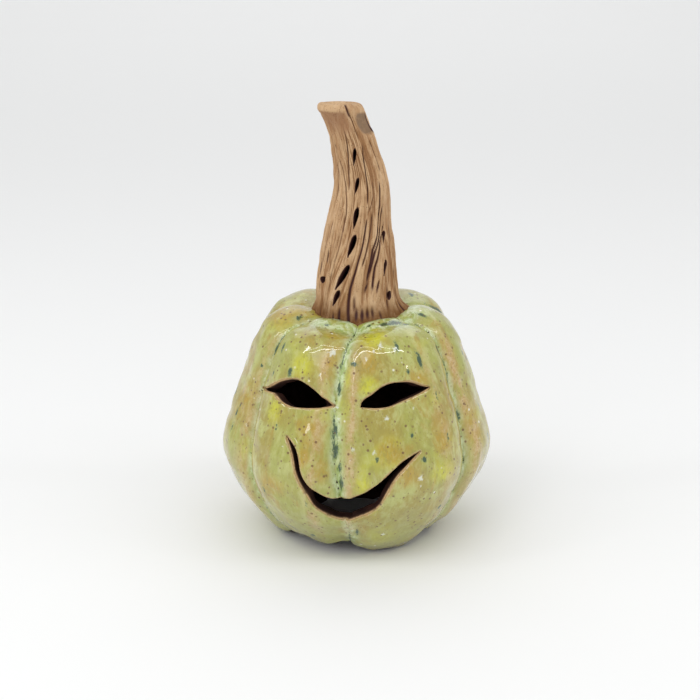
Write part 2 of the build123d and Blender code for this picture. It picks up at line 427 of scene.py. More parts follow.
def place(piece, node):
    """Puts a finished piece on the body in place of its CAD node."""
    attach(piece, BODY)
    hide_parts(node)


# ------------ materials

class Graph:
    """A material with short names for the few kinds of node used here."""

    def __init__(self, name):
        self.material = bpy.data.materials.new(name)
        self.material.use_nodes = True
        self.nodes, self.links = self.material.node_tree.nodes, self.material.node_tree.links
        self.nodes.clear()
        output = self.nodes.new("ShaderNodeOutputMaterial")
        self.shader = self.nodes.new("ShaderNodeBsdfPrincipled")
        self.links.new(self.shader.outputs[0], output.inputs["Surface"])
        self.position = self.nodes.new("ShaderNodeTexCoord").outputs["Object"]

    def feed(self, socket, value):
        if isinstance(value, bpy.types.NodeSocket):
            self.links.new(value, socket)
        else:
            socket.default_value = (*value, 1) if isinstance(value, tuple) and len(value) == 3 else value

    def stretched(self, scale):
        node = self.nodes.new("ShaderNodeMapping")
        self.links.new(self.position, node.inputs["Vector"])
        node.inputs["Scale"].default_value = scale
        return node.outputs[0]

    def noise(self, size, detail=3.0, rough=0.5, stretch=(1, 1, 1), bend=0.0):
        """Smooth random number about size across, from 0 to 1."""
        node = self.nodes.new("ShaderNodeTexNoise")
        self.links.new(self.stretched(stretch), node.inputs["Vector"])
        node.inputs["Scale"].default_value = 1 / (size * MM)
        node.inputs["Detail"].default_value = detail
        node.inputs["Roughness"].default_value = rough
        node.inputs["Distortion"].default_value = bend
        return node.outputs["Fac"]

    def cells(self, size, stretch=(1, 1, 1)):
        """Distance to the nearest of scattered points about size apart."""
        node = self.nodes.new("ShaderNodeTexVoronoi")
        self.links.new(self.stretched(stretch), node.inputs["Vector"])
        node.inputs["Scale"].default_value = 1 / (size * MM)
        return node.outputs["Distance"]

    def mark(self, name):
        """The number that the mesh carries under this name."""
        node = self.nodes.new("ShaderNodeAttribute")
        node.attribute_name = name
        return node.outputs["Fac"]

    def span(self, value, low, high, to_low=0.0, to_high=1.0):
        """Smooth step from to_low at low to to_high at high."""
        node = self.nodes.new("ShaderNodeMapRange")
        node.interpolation_type = "SMOOTHSTEP"
        for socket, number in zip(list(node.inputs)[1:5], (low, high, to_low, to_high)):
            socket.default_value = number
        self.links.new(value, node.inputs[0])
        return node.outputs[0]

    def math(self, operation, first, second=0.0):
        node = self.nodes.new("ShaderNodeMath")
        node.operation = operation
        self.feed(node.inputs[0], first)
        self.feed(node.inputs[1], second)
        return node.outputs[0]

    def times(self, *values):
        result = values[0]
        for value in values[1:]:
            result = self.math("MULTIPLY", result, value)
        return result

    def mix(self, factor, first, second):
        node = self.nodes.new("ShaderNodeMix")
        node.data_type = "RGBA"
        self.feed(node.inputs[0], factor)
        self.feed(node.inputs[6], first)
        self.feed(node.inputs[7], second)
        return node.outputs[2]

    def layer(self, colour, value, low, high, weight, tint):
        """Colour with the tint laid over it where the value has passed from low to high."""
        return self.mix(self.times(self.span(value, low, high), weight), colour, tint)

    def bump(self, height, depth, under=None):
        node = self.nodes.new("ShaderNodeBump")
        node.inputs["Strength"].default_value = 1.0
        node.inputs["Distance"].default_value = depth * MM
        self.links.new(height, node.inputs["Height"])
        if under is not None:
            self.links.new(under, node.inputs["Normal"])
        return node.outputs[0]


def glaze_material():
    g = Graph("glaze")
    tall = (1, 1, 0.45)
    patches = g.noise(30, 3, 0.55, tall, 0.6)
    clouds = g.noise(11, 4, 0.62, tall, 0.8)
    fine = g.noise(2.6, 4, 0.65, (1, 1, 0.5))
    streak = g.noise(1.5, 5, 0.7, (1, 1, 0.2), 0.4)
    colour = g.mix(g.span(patches, 0.40, 0.58), (0.355, 0.368, 0.06), (0.341, 0.276, 0.032))
    colour = g.mix(g.span(clouds, 0.47, 0.64), colour, (0.446, 0.46, 0.128))
    colour = g.layer(colour, g.noise(12, 4, 0.62, tall, 0.6), 0.54, 0.65, 0.8, (0.373, 0.253, 0.018))
    colour = g.layer(colour, g.noise(19, 2, 0.5), 0.56, 0.7, 0.7, (0.455, 0.451, 0.04))
    torn = g.span(g.noise(5, 5, 0.7, tall, 0.6), 0.3, 0.62, 0.25, 1)
    colour = g.mix(g.times(g.mark("amber"), torn), colour, (0.42, 0.265, 0.003))
    colour = g.mix(g.times(g.mark("yellow"), torn), colour, (0.53, 0.52, 0.008))
    colour = g.layer(colour, fine, 0.5, 0.68, 0.36, (0.537, 0.543, 0.211))
    colour = g.layer(colour, fine, 0.47, 0.36, 0.42, (0.264, 0.225, 0.031))
    colour = g.layer(colour, streak, 0.54, 0.68, 0.18, (0.564, 0.57, 0.29))
    colour = g.layer(colour, streak, 0.45, 0.33, 0.26, (0.255, 0.23, 0.035))
    # painted shade: the glaze is darker and more olive towards the floor, where less light reaches
    colour = g.mix(g.times(g.mark("low"), 0.3), colour, (0.282, 0.262, 0.044))
    # milky mint where the glaze pools, pinkish tan where it breaks thin over a crease or an edge
    pooled = g.times(g.mark("pool"), g.span(g.noise(7, 4, 0.65, tall), 0.34, 0.56, 0.3, 1))
    mint = g.mix(g.span(g.noise(3.5, 4, 0.7, tall, 0.6), 0.40, 0.60), (0.31, 0.42, 0.12), (0.60, 0.70, 0.42))
    colour = g.mix(pooled, colour, mint)
    thin = g.times(g.mark("thin"), g.span(g.noise(4, 5, 0.72, (1, 1, 0.35)), 0.36, 0.6, 0.15, 1))
    tan = g.mix(g.span(g.noise(1.6, 4, 0.7), 0.42, 0.6), (0.47, 0.30, 0.10), (0.58, 0.43, 0.22))
    colour = g.mix(thin, colour, tan)
    # dark green crystals with streaked, feathered edges
    streaks = g.noise(1.3, 5, 0.72, (1, 1, 0.3), 0.8)
    edge = g.math("ADD", g.mark("crystal"), g.times(g.math("SUBTRACT", streaks, 0.5), 2.0))
    colour = g.layer(colour, edge, 0.30, 0.55, 0.55, (0.17, 0.25, 0.07))
    colour = g.layer(colour, edge, 0.46, 0.78, 0.96, (0.018, 0.06, 0.022))
    # reddish specks, milky spots and starbursts
    specks = g.times(g.span(g.cells(3.2), 0.24, 0.14), g.span(g.noise(7, 2), 0.43, 0.54))
    colour = g.mix(g.times(specks, 0.85), colour, (0.14, 0.06, 0.008))
    pin = g.times(g.span(g.cells(1.5, (1, 1, 0.55)), 0.24, 0.12), g.span(g.noise(6, 3), 0.46, 0.58))
    colour = g.mix(g.times(pin, 0.65), colour, (0.17, 0.08, 0.018))
    white = g.times(g.span(g.cells(6.5), 0.13, 0.05), g.span(g.noise(17, 2), 0.5, 0.6))
    colour = g.mix(g.times(white, 0.8), colour, (0.84, 0.85, 0.72))
    grains = g.noise(0.9, 4, 0.7)
    milk = g.math("ADD", g.mark("milk"), g.times(g.math("SUBTRACT", grains, 0.5), 1.6))
    colour = g.layer(colour, milk, 0.35, 0.95, 0.8, (0.72, 0.76, 0.66))
    g.feed(g.shader.inputs["Base Color"], colour)
    g.shader.inputs["Roughness"].default_value = 0.4
    g.shader.inputs["Specular IOR Level"].default_value = 0.3
    g.shader.inputs["Coat Weight"].default_value = 1.0
    g.shader.inputs["Coat Roughness"].default_value = 0.03
    g.shader.inputs["Coat IOR"].default_value = 1.7
    skin = g.bump(g.noise(8, 2), 0.16)
    skin = g.bump(g.noise(2.2, 2), 0.015, under=skin)
    g.feed(g.shader.inputs["Normal"], skin)
    g.feed(g.shader.inputs["Coat Normal"], skin)
    return g.material


def body_clay_material():
    g = Graph("body_clay")
    colour = g.mix(g.span(g.noise(7, 4, 0.6), 0.35, 0.65), (0.022, 0.008, 0.006), (0.05, 0.018, 0.011))
    colour = g.layer(colour, g.cells(1.4), 0.3, 0.12, 0.5, (0.012, 0.005, 0.004))
    rim = g.times(g.mark("rim"), g.span(g.noise(2.2, 3, 0.6), 0.3, 0.5, 0.35, 1))
    colour = g.mix(rim, colour, (0.56, 0.37, 0.19))
    g.feed(g.shader.inputs["Base Color"], colour)
    g.feed(g.shader.inputs["Roughness"], g.span(g.noise(3), 0.3, 0.7, 0.6, 0.85))
    g.shader.inputs["Specular IOR Level"].default_value = 0.25
    g.feed(g.shader.inputs["Normal"], g.bump(g.noise(1.1, 4, 0.65), 0.18))
    return g.material


def stem_clay_material():
    g = Graph("stem_clay")
    grain = (1, 1, 0.14)
    broad = g.noise(8, 4, 0.6, (1, 1, 0.45))
    colour = g.mix(g.span(broad, 0.38, 0.62), (0.44, 0.26, 0.13), (0.56, 0.365, 0.20))
    colour = g.layer(colour, g.noise(1.4, 3, 0.6, grain), 0.5, 0.68, 0.45, (0.64, 0.45, 0.275))
    colour = g.layer(colour, g.noise(1.1, 3, 0.6, grain), 0.46, 0.34, 0.5, (0.25, 0.12, 0.045))
    # painted highlight on the grain's crests; its hollows darker, part oxide stain and part painted shade
    colour = g.mix(g.span(g.mark("relief"), 0.42, 0.12, 0, 0.8), colour, (0.27, 0.125, 0.045))
    colour = g.mix(g.span(g.mark("relief"), 0.56, 0.88, 0, 0.55), colour, (0.66, 0.47, 0.295))
    grit = g.times(g.span(g.cells(0.95), 0.32, 0.12), g.span(g.noise(4), 0.42, 0.58))
    colour = g.mix(g.times(grit, 0.7), colour, (0.17, 0.075, 0.03))
    # painted shade under the lip, greyish on the facet, darker at the foot, maroon in the deep grooves
    colour = g.mix(g.times(g.mark("shade"), 0.62), colour, (0.20, 0.075, 0.03))
    smeared = g.times(g.mark("smear"), g.span(g.noise(2.5, 4, 0.65), 0.3, 0.55, 0.7, 0.97))
    colour = g.mix(smeared, colour, (0.215, 0.135, 0.078))
    darker_foot = g.times(g.mark("low"), g.span(g.noise(3, 3), 0.3, 0.6, 0.75, 1))
    colour = g.mix(darker_foot, colour, (0.17, 0.07, 0.018))
    # the grain mark also paints shade: near black inside the stem and round its slits
    colour = g.mix(g.span(g.mark("grain"), 0.10, 0.75), colour, (0.05, 0.014, 0.012))
    g.feed(g.shader.inputs["Base Color"], colour)
    g.feed(g.shader.inputs["Roughness"], g.span(g.noise(3), 0.3, 0.7, 0.62, 0.85))
    g.shader.inputs["Specular IOR Level"].default_value = 0.3
    rough = g.bump(g.noise(0.7, 4, 0.65), 0.12)
    g.feed(g.shader.inputs["Normal"], g.bump(g.noise(1.1, 3, 0.6, grain), 0.22, under=rough))
    return g.material


def plain_material(name, colour, roughness):
    g = Graph(name)
    g.shader.inputs["Base Color"].default_value = (*colour, 1)
    g.shader.inputs["Roughness"].default_value = roughness
    return g.material


# ------------ clay body and glaze coat

# Dark crystals in the front of the glaze: azimuth, height, half width, half length
CRYSTALS = (
    (-37, 91, 1.3, 1.7), (-48, 100, 0.6, 2.6), (-49, 88, 0.5, 1.6), (-62, 89, 0.9, 0.8),
    (-58, 61, 0.8, 0.7), (-38, 67, 0.5, 1.9), (-72, 57, 0.7, 1.9),
    (-2, 97, 1.3, 0.9), (-9.5, 86, 0.8, 2.6), (-11, 67.5, 1.4, 3.6), (-10, 59, 1.6, 3.6),
    (-8, 52, 0.9, 2.2), (-7, 45, 1.0, 3.6), (24, 103, 0.8, 2.0), (36, 96, 1.0, 3.2),
    (27, 93, 0.9, 1.0), (41, 81, 0.5, 3.0), (56, 83, 0.8, 3.4), (24, 66, 0.8, 0.9),
    (28, 55, 1.2, 1.1), (8, 57, 0.8, 1.2), (59, 66, 0.7, 2.8), (43, 61, 0.5, 2.6),
    (55, 97, 0.7, 3.4), (57, 40, 0.7, 3.6), (0, 17, 0.8, 2.6), (-27, 11, 1.4, 0.8),
    (42, 26, 1.0, 1.3), (-43, 36, 0.5, 2.4), (-71, 68, 0.5, 1.6), (76, 66, 0.5, 1.8),
    (-22, 34, 0.4, 1.6),
)
# Crystals round the foot of the stem: azimuth, radius, half width, half length outwards
CROWN_CRYSTALS = (
    (12, 26, 1.6, 0.8), (26, 28, 2.8, 1.4), (38, 28, 4.2, 1.9), (48, 30.5, 2.4, 1.0),
    (66, 33, 0.8, 2.6), (-30, 28, 1.6, 0.8), (-62, 31, 1.0, 1.6), (118, 30, 2.0, 1.2),
    (171, 33, 1.6, 1.8), (214, 29, 2.2, 1.0), (262, 32, 0.9, 2.2),
)
BACK_CRYSTALS = 90  # scattered round the back
# Milky patches: azimuth, height, radius, and how many rays they burst into
MILK = (
    (26, 46.5, 2.6, 11), (26, 42, 1.0, 5), (-2, 61, 1.4, 4), (7, 60, 1.2, 3), (13, 74.5, 1.6, 5),
    (27, 77, 1.1, 4), (13, 16, 1.3, 4), (-15, 101, 2.4, 5), (14, 104, 1.6, 4), (-10, 78, 1.3, 3),
    (-9, 73, 1.0, 3), (-20, 92, 0.8, 3), (-71, 42, 1.2, 4), (-62, 61, 0.9, 3), (66, 54, 1.0, 4),
    (5, 99, 1.0, 3), (22, 102, 1.6, 4), (-33, 60, 0.9, 3), (120, 80, 1.6, 5), (165, 62, 2.2, 9),
    (200, 88, 1.6, 5), (232, 54, 1.8, 7), (150, 34, 1.4, 5), (252, 92, 1.2, 4), (98, 30, 1.2, 4),
)
# Patches of stronger colour in the front of the glaze: azimuth, height, half width, half height
AMBER = (
    (13, 60, 5.5, 6.5), (-22, 67, 5.5, 8), (-14, 96, 5.5, 8), (-70, 111, 10, 5), (-24, 56, 4, 5),
    (-15, 50, 5, 5), (21, 48, 6, 4.5), (7, 99, 4, 6), (60, 92, 6, 12), (-68, 74, 6, 9), (33, 88, 5, 5),
    (-38, 40, 8, 5), (40, 62, 5, 8), (66, 60, 6, 12),
)
YELLOW = (
    (5, 88, 5, 4), (2, 46.5, 3.5, 5), (11, 107, 7, 4), (-30, 95, 6, 5), (-6, 92, 3, 5), (38, 46, 6, 5),
    (-56, 50, 6, 6), (-42, 74, 5, 6),
)
TOP_STEP, FOOT_STEP = 0.062, 0.94  # where the glaze begins under the stem and ends above the foot


def across_from(points, azimuth, turn):
    """Distance round the body from the azimuth turn, in millimetres."""
    return turned(azimuth, turn) * np.hypot(points[:, 0], points[:, 1]) * pi / 180


def crystal_mark(points, azimuth, step):
    """Strength of the dark crystals at each point: at the front, in the grooves, round the back."""
    rng = np.random.default_rng(11)
    listed = list(CRYSTALS)
    for _ in range(BACK_CRYSTALS):
        turn, height = rng.uniform(70, 290), rng.uniform(14, 107)
        listed.append((turn, height, rng.uniform(0.5, 1.4), rng.uniform(1, 3.6)))
    mark = np.zeros(len(points))
    for turn, height, half_width, half_length in listed:
        off = (across_from(points, azimuth, turn) / half_width) ** 2
        off += ((points[:, 2] - height) / half_length) ** 2
        mark = np.maximum(mark, np.exp(-0.6 * off))
    for turn, radius, half_width, half_length in CROWN_CRYSTALS:
        off = (across_from(points, azimuth, turn) / half_width) ** 2
        off += ((np.hypot(points[:, 0], points[:, 1]) - radius) / half_length) ** 2
        mark = np.maximum(mark, np.exp(-0.6 * off) * smooth(-step, -0.3, -0.22))
    broken = smooth(waves(points / (1, 1, 1.6), 15, 12), -0.35, 0.7)
    for course in GROOVES:
        line = bell(across_from(points, azimuth, spline_at(course, step)), 0.7)
        mark = np.maximum(mark, 0.85 * broken * line * smooth(step, 0.1, 0.2))
    return mark


def patch_mark(points, azimuth, patches):
    """Strength of soft oval patches of colour at each point."""
    mark = np.zeros(len(points))
    for turn, height, half_width, half_height in patches:
        off = (across_from(points, azimuth, turn) / half_width) ** 2
        off += ((points[:, 2] - height) / half_height) ** 2
        mark = np.maximum(mark, np.exp(-(off**1.5)))
    return mark


def milk_mark(points, azimuth):
    """Strength of the milky patches and their rays at each point."""
    mark = np.zeros(len(points))
    for turn, height, radius, rays in MILK:
        across, up = across_from(points, azimuth, turn), points[:, 2] - height
        reach = radius * (0.75 + 0.3 * np.cos(rays * np.arctan2(up, across) + turn))
        mark = np.maximum(mark, 1.1 * bell(np.hypot(across, up), reach))
    return mark


def rounded(gap, radius):
    """Depth lost towards a cut edge rounded with this radius."""
    near = 1 - np.clip(gap / radius, 0, 1)
    return radius * (1 - np.sqrt(1 - near**2))


def make_body(outlines):
    """Clay wall with its cut edges rounded, uneven inside and flat underneath."""
    columns, rows = BODY_GRID
    points, triangles, gap = sheet(GIRTH, MERIDIAN_LENGTH, columns, rows, outlines, CLOSE_UP)
    azimuth, step = points[:, 0] / GIRTH * 360, points[:, 1] / MERIDIAN_LENGTH
    outside, normal = body_point(azimuth, step), body_normal(azimuth, step)
    rounding = rounded(gap, RIM_RADIUS)[:, None]
    outer = outside - normal * (GLAZE + rounding)
    inner = outside - normal * (GLAZE + WALL - rounding)
    inner += 0.35 * waves(inner, 7, 8)[:, None] * normal
    outer[:, 2] = np.maximum(outer[:, 2], 0)
    inner[:, 2] = np.maximum(inner[:, 2], FOOT_THICKNESS)
    marks = {"rim": (smooth(-gap, -1.3, -0.3), 0.0)}
    piece = shell("clay_body", triangles, outer, inner, 6, body_clay_material(), marks)
    place(piece, "clay_body")


def make_glaze(outlines):
    """Coat that thins out at its edges, with a bead beside them, and pools in the grooves."""
    length = MERIDIAN_LENGTH * (FOOT_STEP - TOP_STEP)
    loops = []
    for outline in outlines:
        uneven = 1 + 0.45 * waves(np.pad(outline, ((0, 0), (0, 1))), 6, 5)
        moved = grown(outline, GLAZE_SETBACK * uneven)
        moved[:, 1] -= MERIDIAN_LENGTH * TOP_STEP
        loops.append(respaced(moved, 0.55))
    columns, rows = GLAZE_GRID
    points, triangles, gap = sheet(GIRTH, length, columns, rows, loops, CLOSE_UP[1:])
    from_top, from_foot = points[:, 1], length - points[:, 1]
    azimuth = points[:, 0] / GIRTH * 360
    step = points[:, 1] / MERIDIAN_LENGTH + TOP_STEP
    ring = np.stack([np.cos(np.radians(azimuth)), np.sin(np.radians(azimuth)), 0 * azimuth], 1) * 40
    step += 0.006 * waves(ring, 9, 6) * smooth(-from_foot, -8, 0)
    outside, normal = body_point(azimuth, step), body_normal(azimuth, step)
    edge = np.minimum(np.minimum(gap, from_foot), from_top)
    thinning = rounded(edge, 0.7) / 0.7 * GLAZE
    bead = 0.14 * bell(edge - 1.3, 0.7)
    bulge = bulge_at(azimuth, step)
    pool = (1 - smooth(bulge, 0.14, 0.48)) * smooth(step, 0.08, 0.16)
    near_stem = smooth(-step, -0.19, -0.12) * smooth(np.cos(np.radians(azimuth - 20)), -0.3, 0.8)
    off_groove = across_from(outside, azimuth, spline_at(GROOVES[0], step) + 1.5)
    front_pool = bell(off_groove, 2.5) * smooth(step, 0.1, 0.16)
    crystal = crystal_mark(outside, azimuth, step)
    milk = milk_mark(outside, azimuth)
    lift = bead - thinning + 0.15 * pool + 0.1 * crystal + 0.12 * milk
    outer = outside + normal * lift[:, None]
    inner = outside - normal * (GLAZE + 0.03)
    outer[:, 2] = np.maximum(outer[:, 2], 0.4)
    ribs = rib_at(azimuth, step)[0]
    marks = {
        "pool": (np.maximum.reduce([0.8 * pool, 0.95 * near_stem, front_pool]), 0.0),
        "thin": (np.maximum(ribs, smooth(-gap, -0.8, -0.2)), 0.0),
        "crystal": (crystal, 0.0),
        "milk": (milk, 0.0),
        "amber": (patch_mark(outside, azimuth, AMBER), 0.0),
        "yellow": (patch_mark(outside, azimuth, YELLOW), 0.0),
        # painted shade towards the floor
        "low": (smooth(-outside[:, 2], -42, -14), 0.0),
    }
    piece = shell("glaze_coat", triangles, outer, inner, 2, glaze_material(), marks)
    place(piece, "glaze_coat")


# ------------ stem and luting coil

# Stem, foot to tip and over the tip: height, middle in x, width in x, depth in y
STEM_LINE = (
    (104, 1.4, 44, 43), (108.5, 1.2, 43, 42), (113.5, 0.6, 40.6, 39), (121.5, 0.2, 38.6, 36),
    (130, 0.3, 37, 34.5), (141, 0.8, 34, 32), (152.5, 1.0, 29.8, 28.5), (164, 2.0, 26.6, 25.5),
    (175, 1.6, 24.4, 23), (186, -0.9, 21.8, 21.3), (197, -4.3, 20.4, 20), (202.8, -7.0, 21, 20),
    (205.6, -7.9, 20.6, 19.4), (207.0, -8.2, 18.4, 17), (207.0, -8.2, 14, 12.6), (206.3, -8.2, 7, 6.3),
    (206.0, -8.2, 0, 0),
)
STEM_WALL = 4.5
# Slits torn through its front: x, height of the middle, length, width, lean to the left going down
SLITS = (
    (-1.5, 184.2, 7.6, 1.5, -5), (-0.5, 171, 7.4, 1.6, -12), (-0.9, 156.5, 9.6, 2.1, -11),
    (-2.6, 143.8, 10.8, 2.4, -19), (-7.0, 129.2, 13.4, 2.3, -28), (-9.9, 119.4, 7.8, 1.7, -22),
    (12.2, 147.2, 5.6, 1.1, -3), (13.0, 133.1, 7.0, 1.1, -6), (15.0, 119.7, 4.0, 1.5, 0),
    (-16.4, 126.3, 3.4, 2.0, -20),
)
# Deep dark grooves in its front, each as (height, azimuth lane) from top to bottom, with a strength
GRAIN = (
    (((199, -8), (187, -20), (176, -29), (168, -31)), 0.9),
    (((191, 28), (183, 17), (176, 12), (162, 9)), 1.3),
    (((174, 43), (162, 41), (149, 31), (142, 24), (133, 23), (126, 22)), 1.25),
    (((155, 52), (145, 35), (134, 29), (122, 28)), 1.1),
    (((129, 36), (121, 32)), 1.0),
    (((128, 24), (121, 20)), 1.0),
    (((157, 11), (145, 9), (137, 7), (124, 7), (117, 9), (105, 12)), 1.3),
    (((194, -69), (186, -52), (178, -44), (170, -39), (159, -32), (147, -30)), 0.7),
    (((206, 19), (200, 20), (196, 17), (191, 20)), 0.7),
    (((175, 29), (166, 24), (158, 11), (157, 11)), 0.7),
    (((192, 54), (183, 52), (176, 50)), 1.1),
    (((193, 80), (184, 82), (170, 82)), 1.0),
    (((160, 22), (152, 20), (143, 16), (133, 13)), 0.8),
    (((163, 48), (153, 40), (141, 27), (129, 23)), 1.1),
    (((155, -53), (145, -57)), 0.9), (((142, -52), (133, -50)), 1.0), (((139, -66), (126, -62)), 0.8),
    (((159, -34), (145, -30), (131, -29), (120, -27)), 0.6), (((150, -42), (128, -38)), 0.5),
    (((148, 62), (136, 58)), 0.7), (((140, 70), (128, 66), (116, 66)), 0.6), (((126, 46), (112, 47)), 0.7),
    (((116, 16), (108, 16)), 0.9), (((116, 20), (108, 20)), 0.9), (((116, 24), (109, 24)), 0.9),
    (((117, 28), (109, 28)), 0.8), (((115, 34), (108, 35)), 0.8), (((116, 2), (106, 3)), 0.9),
    (((114, -4), (106, -3)), 0.8), (((122, 12), (112, 15)), 0.7), (((120, 66), (106, 70)), 0.9),
    (((118, 76), (106, 80)), 0.8), (((119, -40), (107, -36)), 0.7), (((117, -55), (107, -52)), 0.7),
)
STEM_STEPS = np.linspace(0, 1, 600)
STEM = spline(STEM_LINE, len(STEM_STEPS))
STEM_GIRTH = 100.0  # unrolled width of the stem's sheet
STEM_COLUMNS, STEM_ROWS = 340, 140
FACET_AZIMUTH, FACET_REACH = 57, 8.8  # smooth facet pressed into the right of the tip
FACET_HEIGHT = 199  # height of its middle


def stem_flow(lane, height):
    """Azimuth of a lane of the grain at a height: lanes spread to the left towards the foot."""
    spread = smooth(-height, -158, -106)
    lean = -31 * bell(lane + 6, 36) + 14 * bell(lane + 150, 50)
    wander = 2.2 * np.sin(height / 19 + lane / 23) + 0.9 * np.sin(height / 6.5 + lane / 8)
    return lane + lean * spread + wander * smooth(-height, -205, -190)


def stem_section(step):
    return [np.interp(step, STEM_STEPS, STEM[:, i]) for i in range(4)]


def stem_point(lane, step):
    """Smooth outside of the stem, without its grain."""
    height, middle, width, depth = stem_section(step)
    azimuth = stem_flow(lane, height)
    turn = np.radians(azimuth)
    low = smooth(-height, -117, -106)
    right_tip, left_tip = bell(azimuth - 86, 17), bell(azimuth + 84, 22)
    flare = 1 + low * (0.03 * np.sin(turn * 5 + 1) + 0.03 * np.sin(turn * 9 + 2))
    flare += low * (0.17 * right_tip + 0.08 * left_tip)
    flare += 0.022 * np.sin(turn * 3 + height / 25) + 0.014 * np.sin(turn * 7 - height / 14)
    x = middle + width / 2 * flare * np.sin(turn)
    y = -depth / 2 * flare * np.cos(turn)
    height = height + low * (2.2 * right_tip + 1.5 * left_tip)
    return np.stack([x, y, height], 1), azimuth


def stem_normal(lane, step):
    across = stem_point(lane + 1, step)[0] - stem_point(lane - 1, step)[0]
    up = stem_point(lane, np.minimum(step + 0.004, 0.999))[0]
    up -= stem_point(lane, np.maximum(step - 0.004, 0))[0]
    normal = np.cross(across, up)
    return normal / np.maximum(np.linalg.norm(normal, axis=1), 1e-9)[:, None]


def lane_at(x, height):
    """Lane and step where the front of the stem has this x and height."""
    side = STEM_STEPS[STEM_STEPS < 0.88]
    step = np.interp(height, np.interp(side, STEM_STEPS, STEM[:, 0]), side)
    lanes = np.linspace(-85, 85, 700)
    places = stem_point(lanes, np.full(700, step))[0][:, 0]
    return np.interp(x, places, lanes), step


def slit_outline(x, height, length, width, lean):
    """Teardrop leaning along the grain, widest near its top, on the stem's unrolled sheet."""
    laid = []
    turn = radians(lean)
    for side in (1, -1):
        for t in np.linspace(-1, 1, 13)[:-1] * side:
            u = side * width / 2.2 * (1 - t) ** 0.55 * (1 + t) ** 1.1
            spot_x = x + u * cos(turn) - t * length / 2 * sin(turn)
            spot_z = height + u * sin(turn) + t * length / 2 * cos(turn)
            lane, step = lane_at(spot_x, spot_z)
            laid.append((lane / 360 * STEM_GIRTH, step * STEM_GIRTH))
    return np.array(laid)


def grain_lines():
    """Every groove of the grain as heights, lanes, strength and half width in degrees."""
    rng = np.random.default_rng(21)
    column = 360 / STEM_COLUMNS
    lines = [(*zip(*path), power, 2 * column) for path, power in GRAIN]
    at = -180.0
    while at < 180:
        at += column * rng.uniform(3.2, 5.6)
        top = rng.uniform(188, 204)
        while top > 106:
            length = rng.uniform(12, 55)
            bottom = max(top - length, 104)
            front = -60 < at < 60
            power = rng.choice((0.22, 0.32, 0.42) if front else (0.25, 0.4, 0.6, 0.95))
            drift = rng.uniform(-3, 3)
            lines.append(([top, bottom], [at, at + drift], power, column * rng.uniform(1.2, 1.9)))
            top = bottom - rng.uniform(0, 9)
    return lines


def grain_relief(lane, height):
    """Depth of the grooves along the grain at each point, and how dark they are, 0 to 1."""
    depth, dark = np.zeros_like(lane), np.zeros_like(lane)
    for heights, lanes, power, half in grain_lines():
        span = (height < heights[0]) & (height > heights[-1])
        index = np.where(span)[0]
        tall, course = height[index], np.interp(-height[index], [-h for h in heights], lanes)
        ends = np.clip(np.minimum(heights[0] - tall, tall - heights[-1]) / 3.5, 0, 1) ** 0.7
        off = np.abs(turned(lane[index], course)) / half
        here = np.clip(1 - off, 0, 1) * ends
        depth[index] = np.maximum(depth[index], min(0.95, 0.25 + 0.6 * power) * here)
        dark[index] = np.maximum(dark[index], here * np.clip(1.35 * power - 0.3, 0, 1))
    return depth, dark


def flat_facet(points):
    """Depth cut away by the smooth facet pressed into the right of the tip, 0 elsewhere."""
    height = points[:, 2]
    middle = -4.3 - (height - 197) * 0.42
    turn = radians(FACET_AZIMUTH)
    reach = (points[:, 0] - middle) * sin(turn) - points[:, 1] * cos(turn)
    ends = between(height, 193.0, 194.6, 202, 204.6)
    return np.clip(reach - FACET_REACH - 0.022 * (height - FACET_HEIGHT) ** 2, 0, 3) * ends


